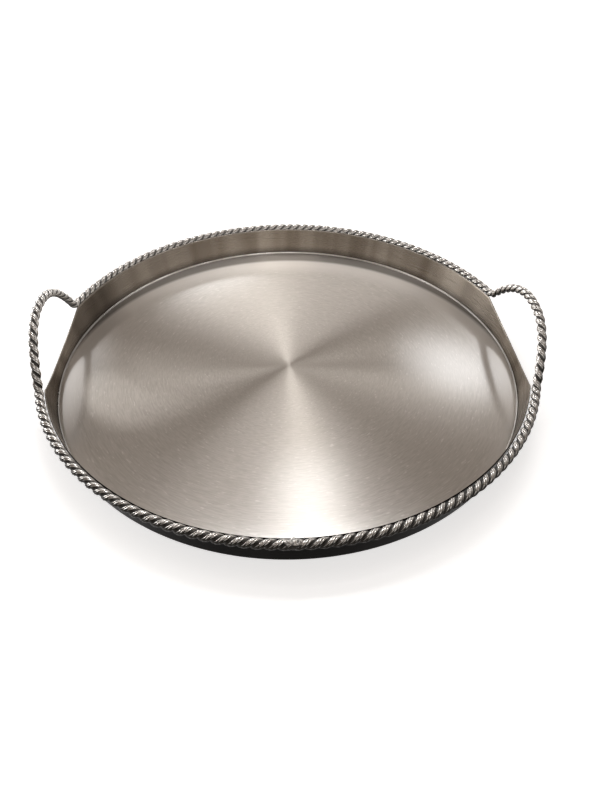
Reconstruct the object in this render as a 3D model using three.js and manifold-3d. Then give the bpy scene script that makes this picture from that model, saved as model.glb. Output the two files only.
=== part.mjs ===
// Round serving tray: a flat floor disc, a gallery wall with two hand cut-outs, and a rope of two twisted
// strands that runs round the outside of the rim and rises over each cut-out as a handle.
// Millimetres, +Z up. The origin is the centre of the underside, and +X points to the right handle.

import * as THREE from "three";
import { mergeVertices } from "three/addons/utils/BufferGeometryUtils.js";
import Module from "manifold-3d";

const wasm = await Module();
wasm.setup();

// Wall and floor
const RIM_RADIUS = 165; // inside of the wall at its top edge
const WALL_LEAN = 2.7; // how much wider the wall is at its top edge than at its bottom edge
const WALL_HEIGHT = 23;
const WALL_THICKNESS = 0.8;
const FLOOR_THICKNESS = 1.2;
const FLOOR_CLEARANCE = 0.15; // between the edge of the floor and the wall round it
const SEAM_LEG = 0.9; // width and height of the bead in the corner of floor and wall
const SEAM_CLEARANCE = 0.1; // between the bead and the wall behind it

// Rope
const ROPE_RADIUS = 3.05; // over both strands
const ROPE_PITCH = 13.6; // length of one turn of the strands, to the nearest whole number of turns in a rope
const ROPE_CLEARANCE = 0.15; // between the rope and the wall that carries it
const STRAND_GAP = 0.2; // between the two strands of a rope
const BUTT_GAP = 0.3; // between the ends of two ropes that meet
const SPLICE_ANGLE = -90.5; // where the rim's rope is joined at the front, in degrees from +X

// Handles and the cut-outs under them: lean is how far the top of a handle stands outside the rim's rope
const CUTOUT_DEPTH = 11.5; // below the top edge of the wall
const FOOT_SETBACK = 1.8; // from the corner of a cut-out to where the handle's arch meets the rim
const FOOT_LENGTH = 5; // of the level end of a handle beyond its arch
const ARCH_POWER = 2.4; // 2 is a parabola, and more is squarer in the shoulders
const ARCH_EASE = 1.5; // softness of the bend from the rim into the arch
const RIGHT_HANDLE = { centre: 0, cutoutHalfWidth: 51.5, rise: 28.2, lean: -0.4 };
const LEFT_HANDLE = { centre: Math.PI, cutoutHalfWidth: 46.6, rise: 34.4, lean: -3.6 };

// Facets
const SIDES_AROUND = 120;
const CUTOUT_SEGMENTS = 28;
const STRAND_SIDES = 5;
const STEPS_PER_TURN = 8;

const BASE_RADIUS = RIM_RADIUS - WALL_LEAN; // inside of the wall at its bottom edge
const ROPE_RING_RADIUS = RIM_RADIUS + WALL_THICKNESS + ROPE_CLEARANCE + ROPE_RADIUS;

// The two strands stay a gap apart at the middle of a step, where the facets bring them closest.
const STEP_SAG = Math.cos(Math.PI / STEPS_PER_TURN);
const HELIX_RADIUS = (ROPE_RADIUS + STRAND_GAP / 2) / (1 + STEP_SAG);
const STRAND_RADIUS = ROPE_RADIUS - HELIX_RADIUS;

const BRUSHED_STEEL = { color: 0xb9b0a6, roughness: 0.38, metalness: 1 };
const WALL_STEEL = { color: 0xa69a8c, roughness: 0.42, metalness: 1 };
const SOLDER = { color: 0xd8d2ca, roughness: 0.3, metalness: 1 };
const ROPE_STEEL = { color: 0xb4aea6, roughness: 0.28, metalness: 1 };

// Inside radius of the leaning wall at a height above the underside.
function wallRadius(height) {
  return BASE_RADIUS + WALL_LEAN * (height / WALL_HEIGHT);
}

// Angle that a length along the rope takes up round the rim.
function rimAngle(length) {
  return length / ROPE_RING_RADIUS;
}

// Half of the angle that a handle's arch spans, from its middle to where it meets the rim.
function archHalfAngle(handle) {
  return Math.asin(handle.cutoutHalfWidth / RIM_RADIUS) + rimAngle(FOOT_SETBACK);
}

// Half of the angle that a whole handle takes up, with its level ends.
function handleHalfAngle(handle) {
  return archHalfAngle(handle) + rimAngle(FOOT_LENGTH);
}

// Height of a handle's centre line above the rim: a power arch that eases into the level rim.
function archHeight(handle, angle) {
  const share = Math.abs(angle - handle.centre) / archHalfAngle(handle);
  const arch = handle.rise * (1 - share ** ARCH_POWER);
  return ARCH_EASE * Math.log1p(Math.exp(arch / ARCH_EASE));
}

// Ring turned about Z from corners given as [radius, height], anticlockwise with the radius to the right.
function turnedRing(corners) {
  const profile = [...corners, corners[0]].map(([radius, height]) => new THREE.Vector2(radius, height));
  return new THREE.LatheGeometry(profile, SIDES_AROUND).rotateX(Math.PI / 2);
}

function toSolid(geometry) {
  const bare = geometry.clone();
  bare.deleteAttribute("normal");
  bare.deleteAttribute("uv");
  const merged = mergeVertices(bare);
  const vertProperties = new Float32Array(merged.attributes.position.array);
  const triVerts = new Uint32Array(merged.index.array);
  return new wasm.Manifold(new wasm.Mesh({ numProp: 3, vertProperties, triVerts }));
}

function toGeometry(solid) {
  const mesh = solid.getMesh();
  const geometry = new THREE.BufferGeometry();
  geometry.setAttribute("position", new THREE.BufferAttribute(mesh.vertProperties, 3));
  geometry.setIndex(new THREE.BufferAttribute(mesh.triVerts, 1));
  return geometry;
}

function floorDisc() {
  const radius = BASE_RADIUS - FLOOR_CLEARANCE;
  const disc = new THREE.CylinderGeometry(radius, radius, FLOOR_THICKNESS, SIDES_AROUND);
  return disc.rotateX(Math.PI / 2).translate(0, 0, FLOOR_THICKNESS / 2);
}

// Three-cornered bead that lies on the floor and against the wall.
function floorSeam() {
  const top = FLOOR_THICKNESS + SEAM_LEG;
  const foot = wallRadius(FLOOR_THICKNESS) - SEAM_CLEARANCE;
  return turnedRing([
    [foot, FLOOR_THICKNESS],
    [wallRadius(top) - SEAM_CLEARANCE, top],
    [foot - SEAM_LEG, FLOOR_THICKNESS],
  ]);
}

// Cutter with a round bottom, run outwards through the wall where a handle stands.
function cutoutCutter(handle) {
  const half = handle.cutoutHalfWidth;
  const arcRadius = (half ** 2 + CUTOUT_DEPTH ** 2) / (2 * CUTOUT_DEPTH);
  const arcHeight = WALL_HEIGHT - CUTOUT_DEPTH + arcRadius;
  const halfArc = Math.asin(half / arcRadius);
  const down = -Math.PI / 2;
  const outline = new THREE.Shape();
  outline.absarc(0, arcHeight, arcRadius, down - halfArc, down + halfArc, false);
  outline.lineTo(half, WALL_HEIGHT + CUTOUT_DEPTH);
  outline.lineTo(-half, WALL_HEIGHT + CUTOUT_DEPTH);
  const options = { depth: RIM_RADIUS, bevelEnabled: false, curveSegments: CUTOUT_SEGMENTS };
  const cutter = new THREE.ExtrudeGeometry(outline, options).translate(0, 0, RIM_RADIUS / 2);
  const outwards = new THREE.Matrix4().makeBasis(
    new THREE.Vector3(0, 1, 0),
    new THREE.Vector3(0, 0, 1),
    new THREE.Vector3(1, 0, 0),
  );
  return cutter.applyMatrix4(outwards).rotateZ(handle.centre);
}

function galleryWall() {
  const ring = turnedRing([
    [BASE_RADIUS + WALL_THICKNESS, 0],
    [RIM_RADIUS + WALL_THICKNESS, WALL_HEIGHT],
    [RIM_RADIUS, WALL_HEIGHT],
    [BASE_RADIUS, 0],
  ]);
  let wall = toSolid(ring);
  for (const handle of [RIGHT_HANDLE, LEFT_HANDLE]) {
    wall = wall.subtract(toSolid(cutoutCutter(handle)));
  }
  return toGeometry(wall);
}

// Centre line of one rope, anticlockwise round the rim, and over the arch where it is a handle's rope.
class RopePath extends THREE.Curve {
  constructor(start, end, handle = null) {
    super();
    this.start = start + rimAngle(BUTT_GAP / 2);
    this.end = end - rimAngle(BUTT_GAP / 2);
    this.handle = handle;
  }

  getPoint(t, target = new THREE.Vector3()) {
    const angle = this.start + t * (this.end - this.start);
    const height = this.handle ? archHeight(this.handle, angle) : 0;
    const lean = this.handle ? this.handle.lean * (height / this.handle.rise) : 0;
    const radius = ROPE_RING_RADIUS + lean;
    return target.set(radius * Math.cos(angle), radius * Math.sin(angle), WALL_HEIGHT + height);
  }
}

// Centre line of one strand: a left-hand helix round its rope's centre line, with a whole number of turns.
class StrandPath extends THREE.Curve {
  constructor(rope, firstTurn) {
    super();
    this.rope = rope;
    this.firstTurn = firstTurn;
    this.turns = Math.round(rope.getLength() / ROPE_PITCH);
  }

  getPoint(t, target = new THREE.Vector3()) {
    const centre = this.rope.getPointAt(t);
    const along = this.rope.getTangentAt(t);
    const outward = new THREE.Vector3(centre.x, centre.y, 0);
    outward.addScaledVector(along, -outward.dot(along)).normalize();
    const across = new THREE.Vector3().crossVectors(along, outward);
    const angle = -2 * Math.PI * (this.firstTurn + this.turns * t);
    target.copy(centre).addScaledVector(outward, HELIX_RADIUS * Math.cos(angle));
    return target.addScaledVector(across, HELIX_RADIUS * Math.sin(angle));
  }
}

function strandSection() {
  const corners = Array.from({ length: STRAND_SIDES }, (_, side) => {
    const angle = (2 * Math.PI * side) / STRAND_SIDES;
    return new THREE.Vector2(Math.cos(angle), Math.sin(angle)).multiplyScalar(STRAND_RADIUS);
  });
  return new THREE.Shape(corners);
}

function strand(rope, firstTurn) {
  const path = new StrandPath(rope, firstTurn);
  const steps = path.turns * STEPS_PER_TURN;
  path.arcLengthDivisions = steps * STEPS_PER_TURN;
  const options = { steps, extrudePath: path, bevelEnabled: false };
  return new THREE.ExtrudeGeometry(strandSection(), options);
}

const tray = new THREE.Group();

function addPiece(name, geometry, finish) {
  const piece = new THREE.Mesh(geometry, new THREE.MeshStandardMaterial(finish));
  piece.name = name;
  tray.add(piece);
}

// The ropes in order, anticlockwise from the joint at the front.
function ropesRoundRim() {
  const splice = THREE.MathUtils.degToRad(SPLICE_ANGLE);
  const rightStart = RIGHT_HANDLE.centre - handleHalfAngle(RIGHT_HANDLE);
  const rightEnd = RIGHT_HANDLE.centre + handleHalfAngle(RIGHT_HANDLE);
  const leftStart = LEFT_HANDLE.centre - handleHalfAngle(LEFT_HANDLE);
  const leftEnd = LEFT_HANDLE.centre + handleHalfAngle(LEFT_HANDLE);
  return [
    { name: "front_right_rope", path: new RopePath(splice, rightStart) },
    { name: "right_handle", path: new RopePath(rightStart, rightEnd, RIGHT_HANDLE) },
    { name: "back_rope", path: new RopePath(rightEnd, leftStart) },
    { name: "left_handle", path: new RopePath(leftStart, leftEnd, LEFT_HANDLE) },
    { name: "front_left_rope", path: new RopePath(leftEnd, splice + 2 * Math.PI) },
  ];
}

// At each end of a rope one strand lies on top of the other, so the lay runs on from rope to rope.
function addRopes() {
  for (const { name, path } of ropesRoundRim()) {
    addPiece(`${name}_strand_a`, strand(path, 0.25), ROPE_STEEL);
    addPiece(`${name}_strand_b`, strand(path, 0.75), ROPE_STEEL);
  }
}

addPiece("floor_disc", floorDisc(), BRUSHED_STEEL);
addPiece("gallery_wall", galleryWall(), WALL_STEEL);
addPiece("floor_seam", floorSeam(), SOLDER);
addRopes();

export default tray;
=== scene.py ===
import math

import bmesh
import bpy
import numpy as np
from mathutils import Matrix, Vector, noise


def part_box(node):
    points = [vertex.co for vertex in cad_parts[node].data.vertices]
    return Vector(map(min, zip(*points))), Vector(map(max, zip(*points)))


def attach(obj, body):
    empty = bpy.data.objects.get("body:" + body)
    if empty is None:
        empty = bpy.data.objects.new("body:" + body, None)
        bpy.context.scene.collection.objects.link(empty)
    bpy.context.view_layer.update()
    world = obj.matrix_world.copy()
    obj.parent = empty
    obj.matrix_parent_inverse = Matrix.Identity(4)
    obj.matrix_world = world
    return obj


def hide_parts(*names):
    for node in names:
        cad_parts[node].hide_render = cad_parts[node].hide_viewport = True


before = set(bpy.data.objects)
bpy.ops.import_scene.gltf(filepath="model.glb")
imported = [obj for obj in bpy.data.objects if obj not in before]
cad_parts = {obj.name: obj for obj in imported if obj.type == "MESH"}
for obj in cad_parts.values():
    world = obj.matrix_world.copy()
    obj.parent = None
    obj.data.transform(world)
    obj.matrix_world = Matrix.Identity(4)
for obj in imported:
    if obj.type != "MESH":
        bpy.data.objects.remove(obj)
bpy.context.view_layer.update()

# Sizes in metres, in the frame of the solids: +X points to the right handle and +Z up
WALL_THICKNESS = 0.0008
WALL_LEAN = 0.0027  # how much larger the wall's radius is at its top edge than at its bottom edge
WALL_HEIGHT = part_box("gallery_wall")[1].z
RIM_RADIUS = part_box("gallery_wall")[1].y - WALL_THICKNESS
BASE_RADIUS = RIM_RADIUS - WALL_LEAN
EDGE_ROUND = 0.00025  # of the sheet's cut edges
FLOOR_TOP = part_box("floor_disc")[1].z
FLOOR_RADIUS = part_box("floor_disc")[1].x
FLOOR_WAVE = 0.00002  # height of the floor's slight unevenness
FLOOR_WAVE_LENGTH = 0.045
SEAM_LEG = 0.0009
SEAM_CLEARANCE = 0.0001
CUTOUT_DEPTH = 0.0115

# Rope: two strands pressed flat against each other, each of a few wires side by side
ROPE_RADIUS = 0.00305
ROPE_CLEARANCE = 0.00015
ROPE_PITCH = 0.0136
ROPE_RING_RADIUS = RIM_RADIUS + WALL_THICKNESS + ROPE_CLEARANCE + ROPE_RADIUS
STRAND_OFFSET = 0.0011  # from the rope's centre line to a strand's
STRAND_RADIUS = ROPE_RADIUS - STRAND_OFFSET
STRAND_STARTS = {"a": 0.25, "b": 0.75}  # in turns about the centre line
WIRES = 7
WIRE_GROOVE = 0.00028  # depth between neighbouring wires

# Splice: the lump of solder over the rope's joint at the front
SPLICE_ANGLE = math.radians(-90.5)
SPLICE_LENGTH = 0.0105
SPLICE_RADIUS = 0.0029
SPLICE_RAISE = 0.0005  # of its middle above the rope's
SPLICE_LUMP_HEIGHT = 0.0007
SPLICE_LUMP_LENGTH = 0.0022

# Handles: lean is how far the top of a handle stands outside the rim's rope, or inside if below zero
FOOT_SETBACK = 0.0018
FOOT_LENGTH = 0.005
ARCH_POWER = 2.4
ARCH_EASE = 0.0015
RIGHT_HANDLE = {"centre": 0.0, "half_width": 0.0515, "rise": 0.0282, "lean": -0.0004}
LEFT_HANDLE = {"centre": math.pi, "half_width": 0.0466, "rise": 0.0344, "lean": -0.0036}
HANDLES = (RIGHT_HANDLE, LEFT_HANDLE)

# Fineness of the meshes
FLOOR_SEGMENTS = 288
FLOOR_RINGS = 56
EDGE_STEPS = 4  # points on each rounded corner
SEAM_SEGMENTS = 360
SEAM_STEPS = 7
CUTOUT_STEPS = 72
SPAN_STEPS = 200  # of the wall between the cut-outs
LINE_STEPS = 4000  # for measuring a rope's centre line
STEPS_PER_TURN = 32
WIRE_POINTS = 6  # round each wire of a strand
SPLICE_RINGS = 40
SPLICE_SIDES = 36
GROUND_SEGMENTS = 64
GROUND_STEPS = 12
MERGE_DISTANCE = 1e-7
FLAT = (1, 1, 0)  # times a place, leaves out its height

# Zones of painted light and shade: a fade is where it starts and where it ends
CRESCENT_DEPTH = 0.016  # of the crescent of painted shadow and reflection of the back wall on the floor, along the corner at the back
CRESCENT_RADIUS = 0.1642  # of its inner edge, about a middle that lies its depth in front of the floor's
SHADOW_FADE = (-0.002, 0.0015)  # past the crescent's inner edge
REFLECTION_FADE = (-0.022, -0.008)  # the same for the brighter ring of painted reflection inside it
FOOT_FADE = (0.002, 0.008)  # height above the underside, inside the wall, of the painted shade at its foot
FLANK_PLACE = 0.057  # along Y, where the painted shade on the wall's inside is darkest
FLANK_FADE = (0.02, 0.045)  # distance from there
FRONT_FADE = (-0.05, -0.13)  # along Y, from the middle of the tray to its front
BACK_FADE = (0.05, 0.13)  # along Y, towards its back
SIDE_FADE = (0.07, 0.12)  # distance along Y from the line through both handles

# Grain of the metal, as patches in a metre: a brushed one has them from ring to ring, then in each radian
FLOOR_GRAIN = (1400.0, 16.0)
FLOOR_DASHES = (900.0, 25.0)
FLOOR_CLOUDS = 14.0
WALL_GRAIN = (1500.0, 8.0)
WALL_COLUMNS = (3.0, 6.0)
SEAM_PATCHES = 60.0
SPLICE_PATCHES = 900.0
ROPE_PATCHES = 260.0
BRUSHED_ALONG_RINGS = 0.25  # turn of the shader's grooves

# Colours
FLOOR_DARK = (0.53, 0.488, 0.44)
FLOOR_LIGHT = (0.645, 0.602, 0.55)
FLOOR_CLOUD = (0.53, 0.485, 0.435)
FLOOR_DASH = (0.86, 0.82, 0.77)
# The next two are painted light: a brighter ring of painted reflection and a dark crescent of painted shadow
# and reflection of the back wall
FLOOR_PAINTED_REFLECTION = (0.73, 0.685, 0.635)
FLOOR_PAINTED_SHADOW = (0.1, 0.088, 0.077)
WALL_DARK = (0.21, 0.175, 0.14)
WALL_LIGHT = (0.46, 0.41, 0.35)
# Painted shade on the wall's inside, at its foot and beside the cut-outs
WALL_PAINTED_SHADE = (0.06, 0.05, 0.042)
# Painted shade that makes the wall's outside nearly black
WALL_OUTSIDE_SHADE = (0.0035, 0.003, 0.0026)
WALL_OUTSIDE_LIGHTER_SHADE = (0.007, 0.0062, 0.0055)
WALL_GLANCE = (0.57, 0.57, 0.57, 1.0)
EDGE_CLEAN = (0.34, 0.31, 0.275)
# Painted shade on the cut edge at the front
EDGE_FRONT_SHADE = (0.012, 0.011, 0.01)
# Solder colours are mixed by patches and by painted light and shade from the way each face turns
SEAM_DULL_AND_SHADED = (0.66, 0.62, 0.57)
SEAM_BRIGHT_AND_LIT = (0.97, 0.94, 0.9)
SPLICE_DULL_AND_SHADED = (0.02, 0.018, 0.016)
SPLICE_BRIGHT_AND_LIT = (0.86, 0.83, 0.79)
# Rope colours are mixed by painted light and shade and by patches of tarnish
ROPE_SHADE_AND_TARNISH = (0.016, 0.014, 0.012)
ROPE_LIT_AND_CLEAN = (0.84, 0.815, 0.78)
BLACK = (0.0, 0.0, 0.0)

# Camera, for an image of 600 by 800
IMAGE_HEIGHT = 800
FOCAL_PIXELS = 620.16
SENSOR_HEIGHT = 36.0
CAMERA_PLACE = (-0.00655, -0.34988, 0.29217)
CAMERA_PITCH = math.radians(42.958)
CAMERA_YAW = math.radians(-2.426)
CAMERA_ROLL = math.radians(0.465)

# Studio
GROUND_RADIUS = 3.4  # of its flat part
GROUND_SWEEP = 2.6  # radius of its turn up into the backdrop
GROUND_COLOUR = (0.85, 0.85, 0.85, 1.0)
GROUND_WHITE = (0.62, 0.8)  # its own white, near the tray and far from it
GROUND_FADE = (0.17, 0.5)  # distances between which its white changes
WORLD_COLOUR = (1.0, 0.84, 0.72, 1.0)
WORLD_STRENGTH = 0.25
LAMP_HEIGHT = 1.3
SIDE_LAMP_DISTANCE = 1.2
LAMP_FADE = (0.1, 0.5)  # distance from the middle of a lamp's face, as a share of its width and height


def wall_radius(height):
    """Inside radius of the leaning wall at a height above the underside."""
    return BASE_RADIUS + WALL_LEAN * height / WALL_HEIGHT


def grid_faces(rows, columns, close_rows=False):
    """Four-cornered faces of a grid of points that closes on itself along its columns."""
    row = np.arange(rows if close_rows else rows - 1)
    i, j = np.meshgrid(row, np.arange(columns), indexing="ij")
    next_i, next_j = (i + 1) % rows, (j + 1) % columns
    corners = [i * columns + j, next_i * columns + j, next_i * columns + next_j, i * columns + next_j]
    return np.stack(corners, -1).reshape(-1, 4).tolist()


def add_object(name, data):
    """A new object in the scene."""
    thing = bpy.data.objects.new(name, data)
    bpy.context.scene.collection.objects.link(thing)
    return thing


def add_piece(name, points, faces, material, nodes, values=None):
    """A smooth mesh that rides on the tray and stands for some of its solids."""
    mesh = bpy.data.meshes.new(name)
    mesh.from_pydata(np.asarray(points).tolist(), [], faces)
    for key, numbers in (values or {}).items():
        layer = mesh.attributes.new(key, "FLOAT", "POINT")
        layer.data.foreach_set("value", np.asarray(numbers, dtype=np.float32))
    work = bmesh.new()
    work.from_mesh(mesh)
    bmesh.ops.remove_doubles(work, verts=work.verts, dist=MERGE_DISTANCE)
    bmesh.ops.recalc_face_normals(work, faces=work.faces)
    work.to_mesh(mesh)
    work.free()
    mesh.shade_smooth()
    mesh.materials.append(material)
    piece = add_object(name, mesh)
    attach(piece, "root")
    if nodes:
        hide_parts(*nodes)
    return piece


def turned_points(profile, segments):
    """Points of a profile of (radius, height) turned about Z, one row for each of its corners."""
    angles = np.linspace(0, 2 * math.pi, segments, endpoint=False)
    radius, height = np.asarray(profile).T
    x = radius[:, None] * np.cos(angles)
    y = radius[:, None] * np.sin(angles)
    z = np.repeat(height[:, None], segments, axis=1)
    return np.stack([x, y, z], -1)


def quarter_round(centre, radius, start, steps):
    """Points of a quarter circle of (radius, height), clockwise from an angle."""
    angles = start - np.linspace(0, math.pi / 2, steps)
    return [(centre[0] + radius * math.cos(a), centre[1] + radius * math.sin(a)) for a in angles]


def add_floor(material):
    """The round plate, with a slight unevenness on top and a rounded rim."""
    rim = FLOOR_RADIUS - EDGE_ROUND
    rings = [rim * ring / FLOOR_RINGS for ring in range(FLOOR_RINGS)]
    top = [(radius, FLOOR_TOP) for radius in rings]
    upper_edge = quarter_round((rim, FLOOR_TOP - EDGE_ROUND), EDGE_ROUND, math.pi / 2, EDGE_STEPS)
    lower_edge = quarter_round((rim, EDGE_ROUND), EDGE_ROUND, 0, EDGE_STEPS)
    underside = [(radius, 0.0) for radius in reversed(rings)]
    profile = top + upper_edge + lower_edge + underside
    points = turned_points(profile, FLOOR_SEGMENTS)
    for point in points[: len(top)].reshape(-1, 3):
        point[2] += FLOOR_WAVE * noise.noise(Vector(point) / FLOOR_WAVE_LENGTH)
    faces = grid_faces(len(profile), FLOOR_SEGMENTS)
    return add_piece("floor_plate", points.reshape(-1, 3), faces, material, ["floor_disc"])


def add_seam(material):
    """The hollowed bead in the corner of floor and wall."""
    foot = wall_radius(FLOOR_TOP) - SEAM_CLEARANCE
    lean = WALL_LEAN / WALL_HEIGHT
    profile = [(foot, FLOOR_TOP)]
    for angle in np.linspace(0, math.pi / 2, SEAM_STEPS):
        height = SEAM_LEG * math.sin(angle)
        profile.append((foot + lean * height - SEAM_LEG * math.cos(angle), FLOOR_TOP + height))
    points = turned_points(profile, SEAM_SEGMENTS)
    faces = grid_faces(len(profile), SEAM_SEGMENTS, close_rows=True)
    return add_piece("corner_bead", points.reshape(-1, 3), faces, material, ["floor_seam"])


def cutout_half_angle(handle):
    return math.asin(handle["half_width"] / RIM_RADIUS)


def cutout_height(handle, turn):
    """Height of the round-bottomed cut-out's edge at an angle from the middle of its handle."""
    half = handle["half_width"]
    arc_radius = (half**2 + CUTOUT_DEPTH**2) / (2 * CUTOUT_DEPTH)
    height = WALL_HEIGHT
    for _ in range(4):  # the height and the leaning wall's radius settle together
        across = wall_radius(height) * math.sin(turn)
        height = WALL_HEIGHT - CUTOUT_DEPTH + arc_radius - math.sqrt(arc_radius**2 - across**2)
    return min(height, WALL_HEIGHT)


def wall_columns():
    """Angles round the wall and its top edge's height at each, with a column at every cut-out's corner."""
    columns = []
    for handle, after in (HANDLES, HANDLES[::-1]):
        half = cutout_half_angle(handle)
        turns = np.linspace(-half, half, CUTOUT_STEPS, endpoint=False)
        columns += [(handle["centre"] + turn, cutout_height(handle, turn)) for turn in turns]
        start = handle["centre"] + half
        end = start + (after["centre"] - handle["centre"]) % (2 * math.pi) - half - cutout_half_angle(after)
        angles = np.linspace(start, end, SPAN_STEPS, endpoint=False)
        columns += [(angle, WALL_HEIGHT) for angle in angles]
    return columns


def wall_section(top):
    """Section of the wall as (radius, height), up the inside, over the rounded edge and down the outside."""
    shoulder = top - EDGE_ROUND
    shares = [0, 0.03, 0.25, 0.5, 0.75, 0.94, 1]
    inside = [(wall_radius(share * shoulder), share * shoulder) for share in shares]
    near = wall_radius(shoulder) + EDGE_ROUND
    far = near + WALL_THICKNESS - 2 * EDGE_ROUND
    over = quarter_round((near, shoulder), EDGE_ROUND, math.pi, EDGE_STEPS)[1:]
    over += quarter_round((far, shoulder), EDGE_ROUND, math.pi / 2, EDGE_STEPS)[:-1]
    outside = [(radius + WALL_THICKNESS, height) for radius, height in reversed(inside)]
    return inside + over + outside


def add_wall(material):
    """The leaning strip with its cut-outs, whose points know if they are outside or on the cut edge."""
    columns = wall_columns()
    points = []
    for angle, top in columns:
        section = wall_section(top)
        points.append([(r * math.cos(angle), r * math.sin(angle), z) for r, z in section])
    points = np.asarray(points).transpose(1, 0, 2)
    rows = len(points)
    row = np.repeat(np.arange(rows), len(columns))
    values = {"outside": row >= rows / 2, "edge": abs(row - (rows - 1) / 2) < EDGE_STEPS}
    faces = grid_faces(rows, len(columns), close_rows=True)
    nodes = ["gallery_wall"]
    return add_piece("gallery_sheet", points.reshape(-1, 3), faces, material, nodes, values)


def rim_angle(length):
    return length / ROPE_RING_RADIUS


def arch_half_angle(handle):
    return cutout_half_angle(handle) + rim_angle(FOOT_SETBACK)


def handle_half_angle(handle):
    return arch_half_angle(handle) + rim_angle(FOOT_LENGTH)


def rope_line(angles, handle):
    """Points of a rope's centre line at angles round the rim, over the arch where it is a handle's rope."""
    height = np.zeros_like(angles)
    lean = np.zeros_like(angles)
    if handle:
        share = np.abs(angles - handle["centre"]) / arch_half_angle(handle)
        arch = handle["rise"] * (1 - share**ARCH_POWER)
        height = ARCH_EASE * np.log1p(np.exp(arch / ARCH_EASE))
        lean = handle["lean"] * height / handle["rise"]
    radius = ROPE_RING_RADIUS + lean
    return np.stack([radius * np.cos(angles), radius * np.sin(angles), WALL_HEIGHT + height], -1)


def unit(vectors):
    return vectors / np.linalg.norm(vectors, axis=-1, keepdims=True)


def square_to(vectors, along):
    """The part of some vectors that is square to others, at unit length."""
    return unit(vectors - np.sum(vectors * along, -1, keepdims=True) * along)


def even_points(start, end, handle):
    """Points at even steps along a rope's centre line, and the turns that its strands make."""
    angles = np.linspace(start, end, LINE_STEPS + 1)
    line = rope_line(angles, handle)
    length = np.concatenate([[0], np.cumsum(np.linalg.norm(np.diff(line, axis=0), axis=1))])
    turns = round(length[-1] / ROPE_PITCH)
    even = np.linspace(0, length[-1], turns * STEPS_PER_TURN + 1)
    return rope_line(np.interp(even, length, angles), handle), turns


def rope_frame(centre):
    """Unit vectors outwards from the tray, square to a rope's centre line, and across both."""
    along = unit(np.gradient(centre, axis=0))
    outward = square_to(centre * FLAT, along)
    return outward, np.cross(along, outward)


def capped_faces(rings, light_at_sides):
    """Faces of a tube of rings of points, with a face over each end."""
    last = (rings - 1) * light_at_sides
    return grid_faces(rings, light_at_sides) + [list(range(light_at_sides)), list(range(last, last + light_at_sides))]


def strand_points(centre, turns, first_turn):
    """Rings of points round one strand, and how deep between two wires each of them lies, from 0 to 1."""
    share = np.linspace(0, 1, len(centre))[:, None]
    outward, across = rope_frame(centre)
    lay = -2 * math.pi * (first_turn + turns * share)
    out = np.cos(lay) * outward + np.sin(lay) * across
    strand = centre + STRAND_OFFSET * out
    side = np.cross(unit(np.gradient(strand, axis=0)), out)
    wire = np.arange(WIRES * WIRE_POINTS) / WIRE_POINTS
    groove = (2 * (wire % 1) - 1) ** 2
    turn = 2 * math.pi * (wire - 0.5) / WIRES
    radius = STRAND_RADIUS - WIRE_GROOVE * groove
    out_part = np.maximum(radius * np.cos(turn), -STRAND_OFFSET)[..., None] * out[:, None]
    side_part = (radius * np.sin(turn))[..., None] * side[:, None]
    return strand[:, None] + out_part + side_part, groove


def add_strand(name, centre, turns, first_turn, material):
    """One strand of a rope, whose points know how far from the rope's middle and in which groove they lie."""
    points, groove = strand_points(centre, turns, first_turn)
    crest = np.linalg.norm(points - centre[:, None], axis=-1) / ROPE_RADIUS
    values = {"crest": crest.ravel(), "groove": np.tile(groove, len(centre))}
    faces = capped_faces(*points.shape[:2])
    piece_name = name.replace("strand", "wires")
    return add_piece(piece_name, points.reshape(-1, 3), faces, material, [name], values)


def add_splice(material):
    """The lump of solder over the joint of the two front ropes."""
    half_angle = rim_angle(SPLICE_LENGTH / 2)
    centre = rope_line(SPLICE_ANGLE + np.linspace(-half_angle, half_angle, SPLICE_RINGS), None)
    centre[:, 2] += SPLICE_RAISE
    outward, across = rope_frame(centre)
    swell = np.sqrt(1 - np.linspace(-0.99, 0.99, SPLICE_RINGS) ** 2) ** 0.5
    turn = np.linspace(0, 2 * math.pi, SPLICE_SIDES, endpoint=False)[:, None]
    ways = np.cos(turn) * outward[:, None] + np.sin(turn) * across[:, None]
    points = centre[:, None] + SPLICE_RADIUS * swell[:, None, None] * ways
    for point, way in zip(points.reshape(-1, 3), ways.reshape(-1, 3)):
        point += SPLICE_LUMP_HEIGHT * noise.fractal(Vector(point) / SPLICE_LUMP_LENGTH, 0.8, 2.0, 3) * way
    faces = capped_faces(SPLICE_RINGS, SPLICE_SIDES)
    return add_piece("splice_solder", points.reshape(-1, 3), faces, material, [])


def ropes_round_rim():
    """Name, start, end and handle of each rope, anticlockwise from the joint at the front."""
    right, left = (handle_half_angle(handle) for handle in HANDLES)
    return [
        ("front_right_rope", SPLICE_ANGLE, -right, None),
        ("right_handle", -right, right, RIGHT_HANDLE),
        ("back_rope", right, math.pi - left, None),
        ("left_handle", math.pi - left, math.pi + left, LEFT_HANDLE),
        ("front_left_rope", math.pi + left, SPLICE_ANGLE + 2 * math.pi, None),
    ]


def add_ropes(material):
    for name, start, end, handle in ropes_round_rim():
        centre, turns = even_points(start, end, handle)
        for letter, first_turn in STRAND_STARTS.items():
            add_strand(f"{name}_strand_{letter}", centre, turns, first_turn, material)


def add_node(tree, kind, inputs=None, **settings):
    """A node with its settings, and with each input joined to a socket or set to a value."""
    node = tree.nodes.new(kind)
    for key, value in settings.items():
        setattr(node, key, value)
    for key, value in (inputs or {}).items():
        if isinstance(value, bpy.types.NodeSocket):
            tree.links.new(value, node.inputs[key])
        else:
            node.inputs[key].default_value = value
    return node


def calculate(tree, operation, *values):
    return add_node(tree, "ShaderNodeMath", dict(enumerate(values)), operation=operation).outputs[0]


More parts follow.
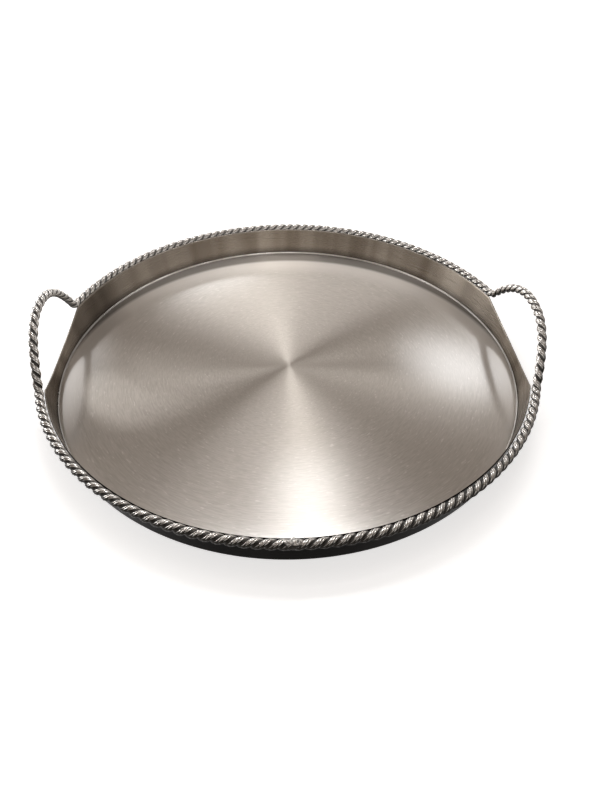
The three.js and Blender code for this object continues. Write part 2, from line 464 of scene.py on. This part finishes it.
def vector_math(tree, operation, *vectors):
    """The outputs of a sum with vectors: Vector, or Value where its result is a number."""
    return add_node(tree, "ShaderNodeVectorMath", dict(enumerate(vectors)), operation=operation).outputs


def axis_part(tree, vector, axis):
    return add_node(tree, "ShaderNodeSeparateXYZ", {"Vector": vector}).outputs[axis]


def remap(tree, value, low, high, to_low, to_high):
    inputs = {"Value": value, "From Min": low, "From Max": high, "To Min": to_low, "To Max": to_high}
    return add_node(tree, "ShaderNodeMapRange", inputs).outputs["Result"]


def speckle(tree, vector, scale, detail):
    """Cloudy values about 0.5."""
    inputs = {"Vector": vector, "Scale": scale, "Detail": detail}
    return add_node(tree, "ShaderNodeTexNoise", inputs).outputs["Fac"]


def mix_colours(tree, share, first, second):
    """A colour between two, which are the second one's at a share of 1."""
    node = add_node(tree, "ShaderNodeMix", {"Factor": share}, data_type="RGBA")
    for socket, colour in ((node.inputs[6], first), (node.inputs[7], second)):
        if isinstance(colour, bpy.types.NodeSocket):
            tree.links.new(colour, socket)
        else:
            socket.default_value = (*colour, 1.0)
    return node.outputs[2]


def attribute(tree, name):
    return add_node(tree, "ShaderNodeAttribute", attribute_name=name).outputs["Fac"]


def object_place(tree):
    return add_node(tree, "ShaderNodeTexCoord").outputs["Object"]


def ring_grain(tree, place, grain, detail):
    """Cloudy values that change fast from ring to ring about Z and slowly along each ring."""
    across, along = grain
    flat = vector_math(tree, "MULTIPLY", place, FLAT)["Vector"]
    radius = vector_math(tree, "LENGTH", flat)["Value"]
    way = vector_math(tree, "NORMALIZE", flat)["Vector"]
    first = calculate(tree, "MULTIPLY", radius, across)
    second = calculate(tree, "MULTIPLY", axis_part(tree, way, "X"), along)
    third = calculate(tree, "MULTIPLY", axis_part(tree, way, "Y"), along)
    third = calculate(tree, "MULTIPLY_ADD", axis_part(tree, place, "Z"), across, third)
    grained = add_node(tree, "ShaderNodeCombineXYZ", {"X": first, "Y": second, "Z": third}).outputs[0]
    return speckle(tree, grained, 1.0, detail)


def new_metal(name, **constants):
    """A metal's material with its node tree and shader, and constants set on the shader's own sockets."""
    material = bpy.data.materials.new(name)
    material.use_nodes = True
    tree = material.node_tree
    shader = tree.nodes["Principled BSDF"]
    shader.inputs["Metallic"].default_value = 1.0
    for key, value in constants.items():
        shader.inputs[key.replace("_", " ")].default_value = value
    return material, tree, shader


def turn_brushing(tree, shader):
    """Lays the shader's grooves along rings about Z."""
    tangent = add_node(tree, "ShaderNodeTangent", direction_type="RADIAL", axis="Z")
    tree.links.new(tangent.outputs["Tangent"], shader.inputs["Tangent"])


def finish_metal(tree, shader, tone, roughness, height, bump_strength, bump_distance):
    """Gives a metal its colour and roughness, and a skin that follows a height."""
    inputs = {"Height": height, "Strength": bump_strength, "Distance": bump_distance}
    bump = add_node(tree, "ShaderNodeBump", inputs)
    tree.links.new(tone, shader.inputs["Base Color"])
    tree.links.new(roughness, shader.inputs["Roughness"])
    tree.links.new(bump.outputs["Normal"], shader.inputs["Normal"])


def front_share(tree, place):
    """How far towards the front of the tray a place is, from 0 at its middle to 1."""
    return remap(tree, axis_part(tree, place, "Y"), *FRONT_FADE, 0.0, 1.0)


def painted_light_share(tree, place):
    """How much painted light a face gets from the way it turns: none outside or below, but full on top and,
    away from the front, inside.
    """
    normal = add_node(tree, "ShaderNodeNewGeometry").outputs["Normal"]
    flat = vector_math(tree, "MULTIPLY", place, FLAT)["Vector"]
    away = vector_math(tree, "NORMALIZE", flat)["Vector"]
    outward = vector_math(tree, "DOT_PRODUCT", normal, away)["Value"]
    # At the front the inside faces get painted shade too
    inward = calculate(tree, "MULTIPLY", outward, remap(tree, front_share(tree, place), 0.0, 1.0, 1.0, -1.0))
    sideways = calculate(tree, "MAXIMUM", outward, inward)
    facing = calculate(tree, "MULTIPLY_ADD", sideways, -0.6, axis_part(tree, normal, "Z"))
    return remap(tree, facing, 0.15, 0.65, 0.0, 1.0)


def floor_tone(tree, place, rings):
    """Colour of the floor: brushed lines, clouds, short dashes, and at the back a brighter ring of painted
    reflection and a dark crescent of painted shadow and reflection of the back wall.
    """
    lines = remap(tree, rings, 0.36, 0.64, 0.0, 1.0)
    clouds = remap(tree, speckle(tree, place, FLOOR_CLOUDS, 3.0), 0.35, 0.7, 0.0, 0.35)
    dashes = remap(tree, ring_grain(tree, place, FLOOR_DASHES, 1.0), 0.64, 0.78, 0.0, 0.6)
    # Painted light at the back: a brighter ring of painted reflection, then a dark crescent of painted shadow
    # and reflection of the back wall along the corner
    reach = vector_math(tree, "DISTANCE", place, (0.0, -CRESCENT_DEPTH, FLOOR_TOP))["Value"]
    past_crescent = calculate(tree, "SUBTRACT", reach, CRESCENT_RADIUS)
    lit_ring = remap(tree, past_crescent, *REFLECTION_FADE, 0.0, 1.0)
    dark = remap(tree, past_crescent, *SHADOW_FADE, 0.0, 0.78)
    tone = mix_colours(tree, lines, FLOOR_DARK, FLOOR_LIGHT)
    tone = mix_colours(tree, clouds, tone, FLOOR_CLOUD)
    tone = mix_colours(tree, dashes, tone, FLOOR_DASH)
    tone = mix_colours(tree, lit_ring, tone, FLOOR_PAINTED_REFLECTION)
    return mix_colours(tree, dark, tone, FLOOR_PAINTED_SHADOW)


def floor_steel():
    """Brushed in rings, with a fine polish over the brushing that mirrors what stands near."""
    brushing = {"Anisotropic": 1.0, "Anisotropic_Rotation": BRUSHED_ALONG_RINGS}
    polish = {"Coat_Weight": 1.0, "Coat_Roughness": 0.13, "Coat_IOR": 2.7}
    material, tree, shader = new_metal("floor_steel", **brushing, **polish)
    turn_brushing(tree, shader)
    place = object_place(tree)
    rings = ring_grain(tree, place, FLOOR_GRAIN, 3.0)
    roughness = remap(tree, rings, 0.3, 0.7, 0.37, 0.45)
    finish_metal(tree, shader, floor_tone(tree, place, rings), roughness, rings, 0.3, 0.00003)
    return material


def wall_inside_tone(tree, place, columns):
    """Colour of the wall's inside: warm columns, with painted shade beside the cut-outs' back corners and at
    the foot.
    """
    # Painted shade beside the back corners of the cut-outs and at the wall's foot
    past_flank = calculate(tree, "SUBTRACT", axis_part(tree, place, "Y"), FLANK_PLACE)
    flank = remap(tree, calculate(tree, "ABSOLUTE", past_flank), *FLANK_FADE, 0.6, 0.0)
    foot = remap(tree, axis_part(tree, place, "Z"), *FOOT_FADE, 0.5, 0.0)
    tone = mix_colours(tree, columns, WALL_DARK, WALL_LIGHT)
    for share in (flank, foot):
        tone = mix_colours(tree, share, tone, WALL_PAINTED_SHADE)
    return tone


def wall_tone(tree, place):
    """Colour of the wall: warm inside, black with painted shade outside, and bright on the cut edge but for
    painted shade on it at the front.
    """
    columns = remap(tree, ring_grain(tree, place, WALL_COLUMNS, 2.0), 0.35, 0.65, 0.0, 1.0)
    inside = wall_inside_tone(tree, place, columns)
    # Painted shade outside, nearly black
    outside = mix_colours(tree, columns, WALL_OUTSIDE_SHADE, WALL_OUTSIDE_LIGHTER_SHADE)
    sheet = mix_colours(tree, attribute(tree, "outside"), inside, outside)
    # Painted shade on the cut edge towards the front
    edge = mix_colours(tree, front_share(tree, place), EDGE_CLEAN, EDGE_FRONT_SHADE)
    return mix_colours(tree, attribute(tree, "edge"), sheet, edge)


def wall_steel():
    """Rolled strip, brushed along its length, with painted shade that makes its outside nearly black."""
    brushing = {"Anisotropic": 0.6, "Anisotropic_Rotation": BRUSHED_ALONG_RINGS}
    material, tree, shader = new_metal("wall_steel", Specular_Tint=WALL_GLANCE, **brushing)
    turn_brushing(tree, shader)
    place = object_place(tree)
    grain = ring_grain(tree, place, WALL_GRAIN, 3.0)
    roughness = remap(tree, grain, 0.3, 0.7, 0.24, 0.28)
    finish_metal(tree, shader, wall_tone(tree, place), roughness, grain, 0.02, 0.00002)
    return material


def solder(name, dark, bright, scale, bump, light_at_sides):
    """Soft grey metal with patches of one size, an uneven skin, painted light and shade from the way each
    face turns, and painted shade at the sides that keeps a share of its colour there.
    """
    material, tree, shader = new_metal(name)
    place = object_place(tree)
    patches = remap(tree, speckle(tree, place, scale, 3.0), 0.3, 0.7, 0.0, 1.0)
    lit_and_clean = calculate(tree, "MULTIPLY", patches, painted_light_share(tree, place))
    # Painted shade at the sides, near the handles, keeping a share of the colour
    off_side = calculate(tree, "ABSOLUTE", axis_part(tree, place, "Y"))
    side_light = remap(tree, off_side, *SIDE_FADE, light_at_sides, 1.0)
    tone = mix_colours(tree, side_light, BLACK, mix_colours(tree, lit_and_clean, dark, bright))
    roughness = remap(tree, patches, 0.0, 1.0, 0.38, 0.26)
    finish_metal(tree, shader, tone, roughness, patches, bump, 0.0002)
    return material


def rope_steel():
    """Painted light and shade: bright on faces turned to the light, dark between the wires, in the lay and
    below, with patches of tarnish at random.
    """
    material, tree, shader = new_metal("rope_steel")
    place = object_place(tree)
    patches = speckle(tree, place, ROPE_PATCHES, 3.0)
    # Painted shade in the lay between the strands, lighter towards the back, and in the grooves between the
    # wires
    deepest = remap(tree, axis_part(tree, place, "Y"), *BACK_FADE, 0.07, 0.3)
    lay_light = remap(tree, attribute(tree, "crest"), 0.7, 0.93, deepest, 1.0)
    groove_light = remap(tree, attribute(tree, "groove"), 0.3, 1.0, 1.0, 0.3)
    lit_and_clean = remap(tree, patches, 0.25, 0.6, 0.6, 1.0)
    for share in (painted_light_share(tree, place), lay_light, groove_light):
        lit_and_clean = calculate(tree, "MULTIPLY", lit_and_clean, share)
    tone = mix_colours(tree, lit_and_clean, ROPE_SHADE_AND_TARNISH, ROPE_LIT_AND_CLEAN)
    roughness = remap(tree, lit_and_clean, 0.0, 1.0, 0.4, 0.15)
    finish_metal(tree, shader, tone, roughness, patches, 0.1, 0.0001)
    return material


def ground_white():
    """Matt white that also shines by itself where the camera or the polished metal sees it."""
    material = bpy.data.materials.new("ground")
    material.use_nodes = True
    tree = material.node_tree
    shader = tree.nodes["Principled BSDF"]
    shader.inputs["Base Color"].default_value = GROUND_COLOUR
    shader.inputs["Roughness"].default_value = 1.0
    shader.inputs["Specular IOR Level"].default_value = 0.0
    shader.inputs["Emission Color"].default_value = (1.0, 1.0, 1.0, 1.0)
    path = add_node(tree, "ShaderNodeLightPath").outputs
    seen = calculate(tree, "MAXIMUM", path["Is Camera Ray"], path["Is Glossy Ray"])
    seen = calculate(tree, "MAXIMUM", seen, path["Is Transmission Ray"])
    distance = vector_math(tree, "LENGTH", object_place(tree))["Value"]
    white = remap(tree, distance, *GROUND_FADE, *GROUND_WHITE)
    tree.links.new(calculate(tree, "MULTIPLY", seen, white), shader.inputs["Emission Strength"])
    return material


def add_ground():
    """Pale floor that sweeps up all round into a backdrop and keeps the tray's shadow."""
    sweep = quarter_round((GROUND_RADIUS, GROUND_SWEEP), GROUND_SWEEP, 0.0, GROUND_STEPS)
    profile = [(0.0, 0.0)] + sweep[::-1]
    points = turned_points(profile, GROUND_SEGMENTS).reshape(-1, 3)
    mesh = bpy.data.meshes.new("ground")
    mesh.from_pydata(points.tolist(), [], grid_faces(len(profile), GROUND_SEGMENTS))
    mesh.shade_smooth()
    mesh.materials.append(ground_white())
    add_object("ground", mesh)


def soften_edges(data):
    """Fades a lamp's face from its middle to its edge, so that polished metal shows no outline of it."""
    data.use_nodes = True
    tree = data.node_tree
    place = add_node(tree, "ShaderNodeNewGeometry").outputs["Parametric"]
    distance = vector_math(tree, "DISTANCE", place, (0.5, 0.5, 0.0))["Value"]
    fade = remap(tree, distance, *LAMP_FADE, 1.0, 0.0)
    tree.links.new(fade, tree.nodes["Emission"].inputs["Strength"])


def add_lamp(name, place, width, height, radiance):
    """A soft lamp that faces down, given by how bright the middle of its face is."""
    data = bpy.data.lights.new(name, "AREA")
    data.shape = "RECTANGLE"
    data.size = width
    data.size_y = height
    data.energy = radiance * math.pi * width * height
    soften_edges(data)
    lamp = add_object(name, data)
    lamp.location = place
    lamp.visible_camera = False
    return lamp


def add_side_lamp(name, azimuth, elevation, width, height, radiance):
    """A soft lamp that faces the tray from a direction, which is given in degrees."""
    turn, rise = math.radians(azimuth), math.radians(elevation)
    way = Vector((math.cos(rise) * math.cos(turn), math.cos(rise) * math.sin(turn), math.sin(rise)))
    lamp = add_lamp(name, way * SIDE_LAMP_DISTANCE, width, height, radiance)
    lamp.rotation_euler = way.to_track_quat("Z", "Y").to_euler()


def add_lights():
    """Lamps placed so that the brushed floor shows the wedges of light that it has in the picture."""
    add_lamp("top_softbox", (0.14, 0.25, LAMP_HEIGHT), 0.47, 1.2, 3.0)
    add_side_lamp("back_spot", 85, 56.5, 0.3, 0.3, 2.1)
    add_side_lamp("back_strip", 93, 65.5, 1.05, 0.12, 22.0)
    add_side_lamp("right_softbox", 62, 37, 0.4, 0.18, 3.3)
    add_side_lamp("left_strip", 154, 19, 1.4, 0.2, 12.5)
    add_side_lamp("left_softbox", 127, 33, 0.45, 0.36, 2.1)
    add_side_lamp("low_softbox", 101, 22.5, 0.52, 0.34, 6.4)
    add_side_lamp("front_softbox", 270, 48, 0.9, 0.6, 2.1)


def add_world():
    """Weak warm light from all round."""
    world = bpy.data.worlds.new("studio")
    world.use_nodes = True
    background = world.node_tree.nodes["Background"]
    background.inputs["Color"].default_value = WORLD_COLOUR
    background.inputs["Strength"].default_value = WORLD_STRENGTH
    bpy.context.scene.world = world


def add_camera():
    data = bpy.data.cameras.new("camera")
    data.sensor_fit = "VERTICAL"
    data.sensor_height = SENSOR_HEIGHT
    data.lens = FOCAL_PIXELS / IMAGE_HEIGHT * SENSOR_HEIGHT
    turn = Matrix.Rotation(CAMERA_YAW, 4, "Z")
    tip = Matrix.Rotation(math.pi / 2 - CAMERA_PITCH, 4, "X")
    roll = Matrix.Rotation(CAMERA_ROLL, 4, "Z")
    camera = add_object("camera", data)
    camera.matrix_world = Matrix.Translation(CAMERA_PLACE) @ turn @ tip @ roll
    bpy.context.scene.camera = camera


bpy.context.scene.view_settings.view_transform = "Standard"
add_camera()
add_lights()
add_world()
add_ground()
add_floor(floor_steel())
add_wall(wall_steel())
add_seam(solder("seam_solder", SEAM_DULL_AND_SHADED, SEAM_BRIGHT_AND_LIT, SEAM_PATCHES, bump=0.05, light_at_sides=0.4))
add_ropes(rope_steel())
add_splice(solder("splice_solder", SPLICE_DULL_AND_SHADED, SPLICE_BRIGHT_AND_LIT, SPLICE_PATCHES, bump=0.6, light_at_sides=1.0))
